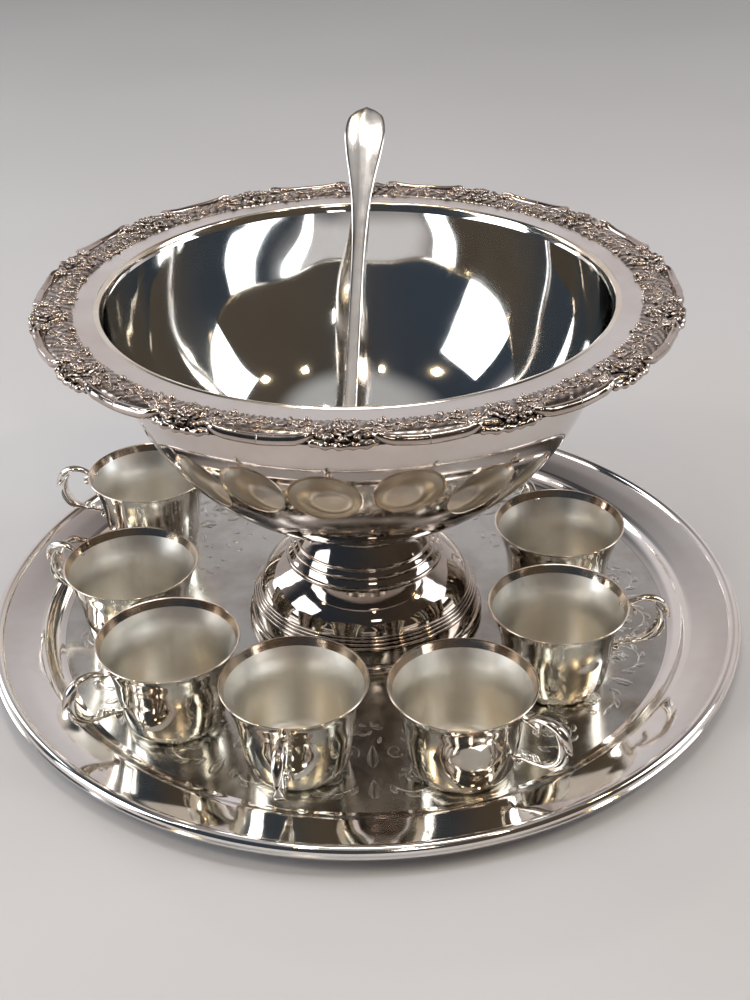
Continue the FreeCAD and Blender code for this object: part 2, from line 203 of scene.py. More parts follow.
# cast materials: the third colour is the painted shade in recesses and under bars
CHASED = cast_silver("silver_chasing", (0.78, 0.77, 0.73), (0.60, 0.56, 0.51), (0.22, 0.20, 0.17),
                     polish=0.2, haze=0.35, grain=0.1)
CUP_OUT = silver("silver_cup_outside", (0.88, 0.86, 0.78), (0.80, 0.70, 0.58), 0.04, 0.10,
                 patch=22.0)
CUP_IN = silver("silver_cup_inside", (0.87, 0.85, 0.80), (0.79, 0.74, 0.66), 0.30, 0.42,
                patch=26.0, scratch=0.0, stretch=(1, 1, 0.12))
CUP_LIP = silver("silver_cup_lip", (0.84, 0.73, 0.62), (0.74, 0.54, 0.39), 0.07, 0.16, patch=24.0)
# painted shade nearly black in the border's recesses
BORDER = cast_silver("silver_border", (0.58, 0.50, 0.45), (0.36, 0.28, 0.235), (0.04, 0.03, 0.024),
                     polish=0.10, haze=0.30)
# painted shade in the handle's recesses and along one side of its bars
HANDLE = cast_silver("silver_handle", (0.88, 0.85, 0.80), (0.76, 0.66, 0.56), (0.16, 0.13, 0.10),
                     polish=0.07, haze=0.25, patch=40.0, grain=0.1)
LADLE = silver("silver_ladle", (0.82, 0.78, 0.75), (0.70, 0.62, 0.57), 0.14, 0.26, patch=20.0)


# ------------------------------------------------------------------- meshes

def smooth_line(points, steps):
    """Points along a smooth curve through the given ones, with steps between neighbours."""
    line = []
    count = len(points)
    for i in range(count - 1):
        a = points[max(i - 1, 0)]
        b, c = points[i], points[i + 1]
        d = points[min(i + 2, count - 1)]
        for k in range(steps):
            t = k / steps
            row = []
            for p, q, r, s in zip(a, b, c, d):
                row.append(0.5 * (2 * q + (r - p) * t + (2 * p - 5 * q + 4 * r - s) * t * t
                                  + (3 * q - p - 3 * r + s) * t ** 3))
            line.append(tuple(row))
    line.append(tuple(points[-1]))
    return line


def arc(centre, radius, start, end, steps):
    """Points (r, z) on a circle, angles in degrees."""
    spots = []
    for k in range(steps + 1):
        a = math.radians(start + (end - start) * k / steps)
        spots.append((centre[0] + radius * math.cos(a), centre[1] + radius * math.sin(a)))
    return spots


def ring_faces(base, rings, sides):
    """Quads between neighbouring rings of points, the first of which starts at base."""
    faces = []
    for i in range(rings - 1):
        low = base + i * sides
        high = low + sides
        for k in range(sides):
            m = (k + 1) % sides
            faces.append((low + k, low + m, high + m, high + k))
    return faces


def end_faces(base, rings, sides):
    """The flat faces that close the two ends of a row of rings."""
    last = base + (rings - 1) * sides
    return [tuple(base + k for k in reversed(range(sides))), tuple(last + k for k in range(sides))]


def make_mesh(name, verts, faces, materials, zones=None, crease=40.0, recess_shade=None, scale=MM):
    mesh = bpy.data.meshes.new(name)
    mesh.from_pydata([tuple(c * scale for c in v) for v in verts], [], faces)
    for material in materials:
        mesh.materials.append(material)
    if zones:
        mesh.polygons.foreach_set("material_index", zones)
    mesh.polygons.foreach_set("use_smooth", [True] * len(mesh.polygons))
    mesh.update()
    if crease:
        mesh.set_sharp_from_angle(angle=math.radians(crease))
    if recess_shade is not None:
        layer = mesh.attributes.new("recess_shade", "FLOAT", "POINT")
        layer.data.foreach_set("value", recess_shade)
    return mesh


def make_object(name, mesh, body, nodes=(), place=None):
    item = bpy.data.objects.new(name, mesh)
    bpy.context.scene.collection.objects.link(item)
    if place:
        item.matrix_world = place
        bpy.context.view_layer.update()
    if nodes:
        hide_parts(*nodes)
    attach(item, body)


def lathe_mesh(name, runs, materials, segments, crease=40.0):
    """A turned mesh. Each run is (list of (radius, height), material index)."""
    line = []
    zone_of = []
    for points, zone in runs:
        first = 1 if line and math.dist(line[-1], points[0]) < 1e-6 else 0
        for p in points[first:]:
            if line:
                zone_of.append(zone)
            line.append(p)
    verts = []
    rows = []
    for r, z in line:
        if r < 1e-6:
            rows.append([len(verts)] * segments)
            verts.append((0.0, 0.0, z))
            continue
        rows.append(list(range(len(verts), len(verts) + segments)))
        for k in range(segments):
            a = TAU * k / segments
            verts.append((r * math.cos(a), r * math.sin(a), z))
    faces = []
    zones = []
    for i in range(len(line) - 1):
        low, high = rows[i], rows[i + 1]
        for k in range(segments):
            m = (k + 1) % segments
            corners = []
            for v in (low[k], low[m], high[m], high[k]):
                if v not in corners:
                    corners.append(v)
            if len(corners) > 2:
                faces.append(tuple(corners))
                zones.append(zone_of[i])
    return make_mesh(name, verts, faces, materials, zones, crease)


def up(points, lift=FLOOR):
    return [(r, z + lift) for r, z in points]


# ------------------------------------------------------------------- bowl

def build_bowl():
    """A near hemisphere of two arcs that meet at the hip, the upper one a little straighter."""
    gauge = 1.2
    bottom = 76.3
    mouth, mouth_height = 150.2, 224.6
    wall_radius = 151.05
    bend = 6.0
    flange_radius = 186.0
    low_radius = 149.63
    low_centre = bottom + low_radius
    hip = -90.0 + 58.65
    high_radius = 158.02
    slide = high_radius - low_radius
    high_centre = (-slide * math.cos(math.radians(hip)),
                   low_centre - slide * math.sin(math.radians(hip)))
    brim = math.degrees(math.asin((WALL_TOP - high_centre[1]) / high_radius))
    outer = (arc((0, low_centre), low_radius, -90.0, hip, 60)
             + arc(high_centre, high_radius, hip, brim, 40)[1:])
    outer[0] = (0.0, low_centre - low_radius)
    outer[-1] = (wall_radius, WALL_TOP)
    under_lip = arc((wall_radius + bend, WALL_TOP), bend, 180.0, 90.0, 12)
    flange_low = [(wall_radius + bend, FLANGE_UNDER), (flange_radius, FLANGE_UNDER)]
    flange_edge = [(flange_radius, FLANGE_UNDER), (186.4, 227.0), (flange_radius, FLANGE_TOP)]
    flange_top = smooth_line([(flange_radius, FLANGE_TOP), (176.0, 227.7), (166.0, 227.8),
                              (157.0, 227.9), (154.4, 228.0)], 4)
    lip = smooth_line([(154.4, 228.0), (153.2, 228.5), (151.9, 228.2), (150.9, 227.0),
                       (mouth, mouth_height)], 6)
    brim_in = math.degrees(math.asin((mouth_height - high_centre[1]) / (high_radius - gauge)))
    inner = (arc(high_centre, high_radius - gauge, brim_in, hip, 60)
             + arc((0, low_centre), low_radius - gauge, hip, -90.0, 80)[1:])
    inner[0] = (mouth, mouth_height)
    inner[-1] = (0.0, low_centre - low_radius + gauge)
    runs = [(up(outer), 0), (up(under_lip), 0), (up(flange_low), 1), (up(flange_edge), 1),
            (up(flange_top), 1), (up(lip), 3), (up(inner), 2)]
    mesh = lathe_mesh("bowl_spun_shell", runs, [MIRROR, FLANGE, BOWL_IN, LIP], 288, crease=24.0)
    make_object("bowl_spun_shell", mesh, "bowl", ["bowl_shell"])


def ring_bead(radius, height, half, steps=8):
    """A half-round ring seen from outside, from bottom to top."""
    return arc((radius, height), half, -90.0, 90.0, steps)


def build_foot():
    skin = [(74.4, WIRE_TOP), (74.6, 9.0), (74.6, 14.0), (74.2, 17.2)]
    rings = []
    for radius, height, half in ((73.0, 18.4, 1.1), (71.6, 20.6, 1.0), (70.4, 22.6, 0.9),
                                 (69.4, 24.4, 0.8)):
        rings += ring_bead(radius, height, half)
    bell = smooth_line([(69.0, 25.4), (67.8, 29.4), (65.0, 34.4), (60.6, 39.2), (55.6, 43.4),
                        (51.6, 46.4)], 8)
    neck = ring_bead(50.4, 47.5, 0.9)
    neck += smooth_line([(49.4, 48.6), (48.0, 50.4), (47.0, 52.0)], 4)
    neck += ring_bead(46.4, 53.0, 0.8)
    neck += smooth_line([(45.8, 54.0), (44.9, 55.6), (44.2, 57.0)], 4)
    neck += ring_bead(43.7, 58.0, 0.75)
    neck += smooth_line([(43.1, 59.0), (41.4, 62.4), (39.6, 66.4), (38.0, 70.6)], 6)
    neck += ring_bead(37.4, 71.6, 0.9)
    neck += [(36.9, 72.7), (36.4, 74.2)]
    neck += ring_bead(36.0, 75.2, 0.9)
    neck += [(35.6, 76.3), (35.6, FOOT_TOP)]
    back = [(35.6, FOOT_TOP), (33.8, FOOT_TOP), (36.2, 70.0), (41.6, 58.0), (49.0, 46.0), (53.0, 42.6),
            (58.4, 38.0), (63.2, 32.6), (67.4, 25.4), (72.6, 17.0), (73.2, WIRE_TOP), (74.4, WIRE_TOP)]
    runs = [(up(skin + rings), 0), (up(bell), 0), (up(neck), 0), (up(back), 1)]
    mesh = lathe_mesh("foot_spun_pedestal", runs, [FOOT, FLANGE], 224, crease=40.0)
    make_object("foot_spun_pedestal", mesh, "bowl", ["pedestal_foot"])

    wire = ([(70.5, 0.0), (74.0, 0.0)] + arc((74.2, 3.3), 3.3, -80.0, 80.0, 14)
            + [(74.0, WIRE_TOP), (70.5, WIRE_TOP), (70.5, 0.0)])
    mesh = lathe_mesh("foot_half_round_wire", [(up(wire), 0)], [FOOT], 224, crease=50.0)
    make_object("foot_half_round_wire", mesh, "bowl", ["foot_wire"])

    collar = ([(30.0, FOOT_TOP), (35.0, FOOT_TOP)] + ring_bead(35.6, 78.8, 1.1)
              + ring_bead(35.4, 80.5, 0.8) + [(33.0, 80.4), (30.0, 79.6), (30.0, FOOT_TOP)])
    mesh = lathe_mesh("neck_ringed_collar", [(up(collar), 0)], [FOOT], 128, crease=50.0)
    make_object("neck_ringed_collar", mesh, "bowl", ["neck_collar"])


# ------------------------------------------------------------------- tray

def build_tray():
    top = smooth_line([(0.0, 0.0), (100.0, 0.0), (190.0, 0.0), (199.0, 0.15)], 4)
    cove = smooth_line([(199.0, 0.15), (203.4, 1.1), (206.8, 3.3), (209.4, 6.2), (211.2, 7.6),
                        (213.6, 8.4)], 6)
    flange = smooth_line([(213.6, 8.4), (219.0, 9.4), (226.0, 10.6), (233.0, 11.5),
                          (236.8, 11.9)], 5)
    under = [(236.8, 11.9), (236.8, 10.2), (214.0, 6.6), (208.6, 2.8), (204.0, -0.4),
             (199.0, -1.5), (0.0, -1.5)]
    runs = [(up(top), 1), (up(cove), 0), (up(flange), 0), (up(under), 0)]
    mesh = lathe_mesh("tray_spun_plate", runs, [TRAY, TRAY_FLOOR], 288, crease=30.0)
    make_object("tray_spun_plate", mesh, "tray", ["tray_plate"])

    bead = [(236.4, 12.1), (236.9, 12.9)]
    bead += arc((239.9, 11.0), 3.6, 130.0, 0.0, 14)
    bead += arc((240.9, 10.4), 3.6, 0.0, -110.0, 12)
    bead += [(236.6, 8.6), (236.4, 12.1)]
    mesh = lathe_mesh("tray_rolled_edge", [(up(bead), 0)], [TRAY], 288, crease=50.0)
    make_object("tray_rolled_edge", mesh, "tray", ["tray_edge_wire"])


# ------------------------------------------------------- cast ornament tools

class Casting:
    """Collects the leaves, stems and beads of one casting in flat millimetres."""

    def __init__(self):
        self.verts = []
        self.faces = []
        self.recess_shade = []

    def grid(self, rows, recess_shade):
        """A sheet from rows of equal length, with its own recess values."""
        base = len(self.verts)
        width = len(rows[0])
        for row, depths in zip(rows, recess_shade):
            self.verts += row
            self.recess_shade += depths
        for i in range(len(rows) - 1):
            for k in range(width - 1):
                a = base + i * width + k
                self.faces.append((a, a + 1, a + width + 1, a + width))

    def tube(self, line, radii, sides=10, squash=1.0, groove=0.0):
        """A round bar along line, (s, t, h) points, closed at both ends."""
        base = len(self.verts)
        count = len(line)
        for i, spot in enumerate(line):
            ahead = Vector(line[min(i + 1, count - 1)]) - Vector(line[max(i - 1, 0)])
            ahead.normalize()
            side = Vector((0, 0, 1)).cross(ahead)
            if side.length < 1e-3:
                side = Vector((1, 0, 0))
            side.normalize()
            high = ahead.cross(side)
            for k in range(sides):
                a = TAU * k / sides
                reach = radii[i] * (1.0 - groove * max(0.0, math.sin(a)) ** 6)
                p = Vector(spot) + side * (reach * math.cos(a)) + high * (reach * squash * math.sin(a))
                self.verts.append(tuple(p))
                # painted shade: darker on the underside of the bar
                self.recess_shade.append(0.75 * max(0.0, -math.sin(a)) ** 0.7)
        self.faces += ring_faces(base, count, sides) + end_faces(base, count, sides)

    def bead(self, spot, radius, flat=0.8, sides=12):
        """A domed bead standing on spot."""
        rings = 5
        base = len(self.verts)
        for i in range(rings):
            a = math.pi / 2 * i / rings
            for k in range(sides):
                b = TAU * k / sides
                self.verts.append((spot[0] + radius * math.cos(a) * math.cos(b),
                                   spot[1] + radius * math.cos(a) * math.sin(b),
                                   spot[2] + radius * flat * math.sin(a)))
                # painted shade: darkest round the foot of the bead, none on its top
                self.recess_shade.append(0.9 * (1.0 - i / rings) ** 2)
        top = len(self.verts)
        self.verts.append((spot[0], spot[1], spot[2] + radius * flat))
        self.recess_shade.append(0.0)
        self.faces += ring_faces(base, rings, sides)
        last = base + (rings - 1) * sides
        for k in range(sides):
            self.faces.append((last + k, last + (k + 1) % sides, top))

    def leaf(self, root, heading, length, width, lift=0.0, arch=1.2, bend=0.0, curl=0.0,
             lobes=4, sink=0.5):
        """A veined leaf with a lobed edge, lying from root along heading in degrees."""
        along, across = 12, 8
        rows, depths = [], []
        angle = math.radians(heading)
        x, y = root[0], root[1]
        for i in range(along + 1):
            u = i / along
            turn = angle + math.radians(bend) * u
            if i:
                x += length / along * math.cos(turn)
                y += length / along * math.sin(turn)
            outline = math.sin(math.pi * min(1.0, u ** 0.72)) ** 0.75 if u < 1 else 0.0
            serration = 1.0 + 0.22 * abs(math.sin(math.pi * lobes * u)) - 0.11
            half = width / 2 * outline * serration
            row, depth = [], []
            for k in range(across + 1):
                v = 2.0 * k / across - 1.0
                rib = 0.22 * math.cos(math.pi * (lobes * 2 * u + abs(v) * 2.2))
                vein = -0.45 * math.exp(-(v / 0.14) ** 2)
                dome = arch * (1.0 - v * v) * (0.35 + 0.65 * math.sin(math.pi * min(1, u + 0.12)))
                h = root[2] + lift * u + dome + (vein + rib * (1 - v * v)) * outline - sink * v * v
                h += curl * u * u
                row.append((x - math.sin(turn) * half * v, y + math.cos(turn) * half * v, h))
                # painted shade: darker at the sunk edges, in the vein, in the troughs of the ribs and
                # towards the root
                painted_shade = 0.85 * abs(v) ** 3 + 0.7 * math.exp(-(v / 0.12) ** 2) + 0.35 * (0.22 - rib)
                depth.append(max(0.0, min(1.0, painted_shade + 0.4 * (1 - u) ** 3)))
            rows.append(row)
            depths.append(depth)
        self.grid(rows, depths)

    def spiral(self, centre, start_radius, end_radius, start, turn, height, thick, thin,
               rise=0.0, steps=26):
        """A curling stem, angles in degrees."""
        line, radii = [], []
        for i in range(steps + 1):
            u = i / steps
            r = start_radius + (end_radius - start_radius) * u ** 0.8
            a = math.radians(start + turn * u)
            line.append((centre[0] + r * math.cos(a), centre[1] + r * math.sin(a),
                         height + rise * u))
            radii.append(thick + (thin - thick) * u)
        self.tube(line, radii)

    def rosette(self, centre, radius, petals=6, height=1.0, phase=0.0):
        """An open flower of cupped petals round a beaded eye."""
        for ring, (share, lift, grow) in enumerate(((1.0, 0.0, 1.0), (0.62, 1.0, 0.85))):
            for k in range(petals):
                a = phase + 360.0 / petals * (k + 0.5 * ring)
                r = math.radians(a)
                spot = (centre[0] + 0.18 * radius * math.cos(r),
                        centre[1] + 0.18 * radius * math.sin(r), height + lift)
                self.leaf(spot, a, radius * 0.86 * share, radius * 0.95 * share * grow,
                          lift=0.5, arch=0.8, curl=0.7, lobes=1, sink=0.4)
        self.bead((centre[0], centre[1], height + 1.2), radius * 0.26, 1.0)


def bent_round(verts, radius=BEND_RADIUS):
    """Flat (s along, t outwards, h up) bent to a ring about +Z, with s = 0 on +X."""
    spots = []
    for s, t, h in verts:
        a = s / radius
        spots.append(((radius + t) * math.cos(a), (radius + t) * math.sin(a), h))
    return spots


# ------------------------------------------------------------ tray's chasing

def build_chasing():
    """Low scrolls and leaves chased round the tray's floor, standing a little proud of it."""
    draw = random.Random(11)
    cast = Casting()
    repeats = 12
    ring = 168.0
    repeat = TAU * ring / repeats
    for k in range(repeats):
        start = repeat * k
        for side in (-1, 1):
            middle = start + repeat / 2 + side * 20.0
            cast.spiral((middle, 4.0), 15.0, 2.6, 90 - side * 70, side * 500, 0.2, 0.55, 0.4)
            for j in range(9):
                a = math.radians(90 - side * 70 + side * j * 38)
                reach = 14.6 - j * 0.9
                spot = (middle + reach * math.cos(a), 4.0 + reach * math.sin(a), 0.1)
                cast.leaf(spot, math.degrees(a) + side * 55, 8.5 - j * 0.4, 4.2 - j * 0.15,
                          bend=side * 50, arch=0.7, lobes=3, sink=0.3)
            cast.rosette((middle, 4.0), 5.4, petals=5, height=0.1, phase=draw.uniform(0, 60))
            cast.spiral((middle + side * 9.0, -20.0), 7.0, 1.4, 40, -side * 420, 0.2, 0.45, 0.35)
            cast.leaf((middle - side * 6.0, -14.0, 0.1), 250 + side * 30, 13.0, 5.0,
                      bend=side * 60, arch=0.7, lobes=4, sink=0.3)
        cast.rosette((start + repeat / 2, -8.0), 6.0, petals=6, height=0.1)
        cast.leaf((start, 20.0, 0.1), 270, 16.0, 7.0, arch=0.7, lobes=5, sink=0.3)
        cast.leaf((start, -6.0, 0.1), 270, 20.0, 8.0, arch=0.7, lobes=5, sink=0.3)
        for j in range(14):
            cast.leaf((start + draw.uniform(0, repeat), draw.uniform(-52, -26), 0.1),
                      draw.uniform(0, 360), draw.uniform(5, 9), draw.uniform(2.4, 4.0),
                      bend=draw.uniform(-60, 60), arch=0.6, lobes=3, sink=0.3)
    relief = 0.34
    flat = [(s, t, FLOOR + max(-0.3, h) * relief) for s, t, h in cast.verts]
    placed = bent_round(flat, ring)
    mesh = make_mesh("tray_chased_scrolls", placed, cast.faces, [CHASED], crease=0,
                     recess_shade=cast.recess_shade)
    make_object("tray_chased_scrolls", mesh, "tray")


# -------------------------------------------------------------- bowl's border

def border_edge(s, repeat):
    """How far the casting's outer edge stands out at s, for the ground under the ornament."""
    swell = math.exp(-(s / 15.0) ** 2) + math.exp(-((abs(s) - repeat) / 15.0) ** 2)
    mid = math.exp(-((abs(s) - repeat / 2) / 15.0) ** 2)
    return 5.6 + 2.4 * swell + 1.4 * mid


BORDER_COLUMNS = 84


def border_ground(cast, repeat):
    """A low moulding with a frilled inner edge."""
    section = ((-1.0, -0.35), (-0.92, 0.9), (-0.75, 1.35), (-0.5, 1.7), (-0.25, 1.9), (0.0, 2.0),
               (0.25, 1.9), (0.5, 1.4), (0.7, 0.5), (0.86, -0.6), (0.95, -1.8), (1.0, -2.9))
    rows, depths = [], []
    for i in range(BORDER_COLUMNS + 1):
        s = repeat * (i / BORDER_COLUMNS - 0.5)
        outer = border_edge(s, repeat)
        frill = 0.8 * abs(math.sin(math.pi * s / 5.6)) + 0.5 * math.sin(s * 1.9)
        inner = -12.6 - frill - 1.2 * math.exp(-(s / 13.0) ** 2)
        row, depth = [], []
        for place, h in section:
            t = inner * -place if place < 0 else outer * place
            row.append((s, t, h))
            # painted shade over the ground under the ornament, rippling across it, and less at the
            # innermost edge
            depth.append(0.55 + 0.3 * math.sin(7.0 * place + s) if place > -0.95 else 0.2)
        rows.append(row)
        depths.append(depth)
    cast.grid([list(r) for r in zip(*rows)], [list(r) for r in zip(*depths)])


def border_underside(cast, repeat):
    """The turned-under outer edge, which gives the casting its thickness."""
    under, shade = [], []
    for i in range(BORDER_COLUMNS + 1):
        s = repeat * (i / BORDER_COLUMNS - 0.5)
        outer = border_edge(s, repeat)
        under.append([(s, outer, -2.9), (s, outer - 1.6, -3.4), (s, 5.6, -1.6), (s, 5.6, -0.3)])
        # painted shade under the turned-under edge, darker towards its inner side
        shade.append([0.5, 0.6, 0.8, 0.9])
    cast.grid([list(r) for r in zip(*under)], [list(r) for r in zip(*shade)])


def border_scrolls(cast, reach):
    """The long polished scroll along the outer edge, which the next repeat carries on."""
    for side in (-1, 1):
        path = [(side * 14.0, 5.2, 2.6), (side * 17.5, 7.4, 2.2), (side * 22.0, 7.8, 0.6),
                (side * 28.0, 7.6, -0.2), (side * 34.0, 7.8, -0.5), (side * reach, 8.0, -0.6)]
        line = smooth_line(path, 8)
        radii = [1.5 + 1.1 * min(1.0, i / 18.0) for i in range(len(line))]
        cast.tube(line, radii, sides=16, squash=1.15)
        # the volute that it curls into beside the flower
        cast.spiral((side * 16.6, 2.8), 3.4, 0.9, 80 if side > 0 else 100, -side * 420.0, 2.6,
                    1.35, 0.7, rise=0.8)
        cast.bead((side * 16.6, 2.8, 2.4), 1.5, 1.1)
        # an acanthus leaf springing over the scroll
        cast.leaf((side * 13.0, 4.0, 1.4), 0 if side > 0 else 180, 13.0, 6.6, arch=1.6,
                  bend=side * 10.0, curl=-1.0, lobes=5)
        cast.leaf((side * 19.0, 1.6, 1.2), -12 if side > 0 else 192, 12.0, 5.0, arch=1.3,
                  bend=-side * 38.0, lobes=4)


def border_cluster(cast, draw):
    """The open flower in its tangle of leaves, beads and tendrils."""
    cast.rosette((0.8, 1.2), 7.2, petals=6, height=2.6, phase=12.0)
    ring = ((-10.5, 4.2, 205, 9.0, 6.0), (-6.8, 6.6, 250, 7.5, 5.4), (-10.8, -1.6, 160, 8.5, 5.6),
            (-6.0, -6.0, 120, 8.0, 5.2), (0.6, -7.2, 85, 7.6, 5.0), (6.8, -5.2, 55, 8.4, 5.4),
            (11.4, -0.6, 20, 8.6, 5.8), (10.6, 4.8, -30, 8.6, 6.0), (6.6, 7.0, -62, 7.4, 5.2),
            (0.2, 8.4, -95, 7.0, 5.6))
    for s, t, heading, length, width in ring:
        back = math.radians(heading)
        root = (s - 0.35 * length * math.cos(back), t - 0.35 * length * math.sin(back), 1.9)
        cast.leaf(root, heading + draw.uniform(-14, 14), length, width, arch=1.7,
                  lift=draw.uniform(-0.6, 0.9), bend=draw.uniform(-40, 40),
                  curl=draw.uniform(-0.4, 1.2), lobes=3)
    for s, t, turn in ((-13.2, -5.6, 300), (13.4, -6.0, -300), (-3.6, -9.6, -320), (4.8, -9.8, 320)):
        cast.spiral((s, t), 2.5, 0.7, 30.0, turn, 2.0, 0.85, 0.5, rise=0.6)
    for s, t, r in ((-7.6, 1.0, 1.1), (8.6, 1.4, 1.1), (-3.4, -4.9, 0.9), (4.6, -4.4, 0.9),
                    (-13.6, 1.2, 1.0), (13.8, 1.0, 1.0)):
        cast.bead((s, t, 3.0), r, 1.1)


def border_cluster_edge(cast):
    """The rolled outer edge under the flower."""
    edge = [(-15.5, 7.4, -0.6), (-12.0, 8.6, -1.0), (-8.0, 9.3, -1.3), (-4.0, 8.8, -1.5),
            (0.0, 9.6, -1.6), (4.0, 8.8, -1.5), (8.0, 9.4, -1.3), (12.0, 8.6, -1.0),
            (15.5, 7.4, -0.6)]
    line = smooth_line(edge, 5)
    cast.tube(line, [1.9 + 0.45 * math.sin(i * 0.8) for i in range(len(line))], sides=12)


def border_vine(cast, draw, reach):
    """Fine vine, leaves and beads over the ground between the clusters."""
    for side in (-1, 1):
        vine = [(side * 17.0, -6.4, 1.9), (side * 22.0, -3.0, 2.1), (side * 27.0, -5.6, 2.1),
                (side * 32.0, -2.6, 2.1), (side * 37.0, -5.2, 2.1), (side * reach, -3.6, 2.1)]
        line = smooth_line(vine, 6)
        cast.tube(line, [0.55] * len(line), sides=8)
        for k in range(17):
            s = side * draw.uniform(16.0, reach)
            t = draw.uniform(-11.5, 2.6)
            h = 1.4 if t > -9 else 0.8
            cast.leaf((s, t, h), draw.uniform(0, 360), draw.uniform(3.4, 5.6),
                      draw.uniform(2.2, 3.4), arch=1.1, lobes=2, sink=0.4)
        for k in range(7):
            s = side * (17.0 + k * 3.6)
            cast.leaf((s, -10.2, 0.5), 265 + draw.uniform(-22, 22), 3.8, 3.2, arch=0.9, lobes=2)
        for k in range(10):
            cast.bead((side * draw.uniform(17.0, reach), draw.uniform(-9.5, 2.8), 1.9),
                      draw.uniform(0.5, 0.95), 1.0, sides=8)
        cast.bead((side * 20.4, -12.3, 0.5), 2.0, 1.15)


def border_fan(cast, reach):
    """The little fan in the middle of the scroll, half on each side of the joint."""
    for side in (-1, 1):
        for k in range(4):
            heading = 90 + side * (8 + 22 * k)
            cast.leaf((side * reach, -7.6, 1.5), heading, 7.6 - k * 0.8, 2.4, arch=0.9, lobes=2)


def build_border():
    draw = random.Random(7)
    repeat = TAU * BEND_RADIUS / REPEATS
    reach = repeat / 2
    cast = Casting()
    border_ground(cast, repeat)
    border_underside(cast, repeat)
    border_scrolls(cast, reach)
    border_cluster(cast, draw)
    border_cluster_edge(cast)
    border_vine(cast, draw, reach)
    border_fan(cast, reach)
    placed = bent_round([(s, t, h + FLANGE_TOP + FLOOR) for s, t, h in cast.verts])
    mesh = make_mesh("border_casting", placed, cast.faces, [BORDER], crease=0, recess_shade=cast.recess_shade)
    for k in range(REPEATS):
        turn = math.radians(FIRST_CLUSTER + 360.0 / REPEATS * k)
        make_object("border_flower_scroll_%02d" % (k + 1), mesh, "bowl",
                    ["border_casting_%02d" % (k + 1)], Matrix.Rotation(turn, 4, "Z"))


# ------------------------------------------------------------------- cups

def cup_mesh():
    outer = [(0.0, 0.9), (18.0, 0.7), (22.5, 0.2), (24.4, 0.0)]
    heel = smooth_line([(24.4, 0.0), (27.4, 1.4), (29.6, 4.2), (31.0, 8.4)], 6)
    side = smooth_line([(31.0, 8.4), (32.0, 14.0), (32.8, 20.0), (33.6, 27.0), (34.4, 34.0),
                        (35.9, 41.0), (37.8, 47.0), (39.9, 53.0), (42.0, 57.6)], 7)
    lip = smooth_line([(42.0, 57.6), (42.5, 58.1), (42.2, 58.6), (41.4, 58.3)], 4)
    band = smooth_line([(41.4, 58.3), (40.7, 56.4), (40.0, 54.6), (39.6, 53.6)], 5)
    inside = smooth_line([(39.6, 53.6), (38.2, 50.0), (36.6, 46.0), (34.9, 41.0), (33.4, 34.0),
                          (32.6, 27.0), (31.8, 20.0), (31.0, 14.0), (30.0, 8.6), (28.4, 4.6),
                          (25.6, 2.0), (22.0, 1.2), (12.0, 1.1), (0.0, 1.1)], 5)
    runs = [(outer, 0), (heel, 0), (side, 0), (lip, 2), (band, 2), (inside, 1)]
    return lathe_mesh("cup_body", runs, [CUP_OUT, CUP_IN, CUP_LIP], 128, crease=30.0)


def handle_bar(cast, points, radii, steps=8, squash=1.0, groove=0.0, sides=14):
    """A bar in the upright plane of the handle, through (out, up) points."""
    fine = smooth_line([p + (r,) for p, r in zip(points, radii)], steps)
    base = len(cast.verts)
    count = len(fine)
    for i, (u, z, r) in enumerate(fine):
        before = fine[max(i - 1, 0)]
        after = fine[min(i + 1, count - 1)]
        ahead = Vector((after[0] - before[0], 0, after[1] - before[1])).normalized()
        high = Vector((-ahead.z, 0, ahead.x))
        for k in range(sides):
            a = TAU * k / sides
            cut = groove * max(0.0, -math.sin(a)) ** 8
            p = (Vector((u, 0, z)) + high * (r * math.sin(a) * (1.0 - cut))
                 + Vector((0, 1, 0)) * (r * squash * math.cos(a)))
            cast.verts.append(tuple(p))
            # painted shade: darker along one side of the bar and in its groove
            cast.recess_shade.append(0.8 * max(0.0, math.sin(a)) ** 2 + cut)
    cast.faces += ring_faces(base, count, sides) + end_faces(base, count, sides)


def handle_ball(cast, u, z, radius, wide):
    """A bead on the handle, wide times as wide as it is high."""
    base = len(cast.verts)
    bands, sides = 8, 12
    for i in range(bands + 1):
        lat = math.pi * i / bands - math.pi / 2
        for k in range(sides):
            lon = TAU * k / sides
            cast.verts.append((u + radius * math.cos(lat) * math.cos(lon),
                               radius * wide * math.sin(lat),
                               z + radius * math.cos(lat) * math.sin(lon)))
            cast.recess_shade.append(0.1)
    cast.faces += ring_faces(base, bands + 1, sides)


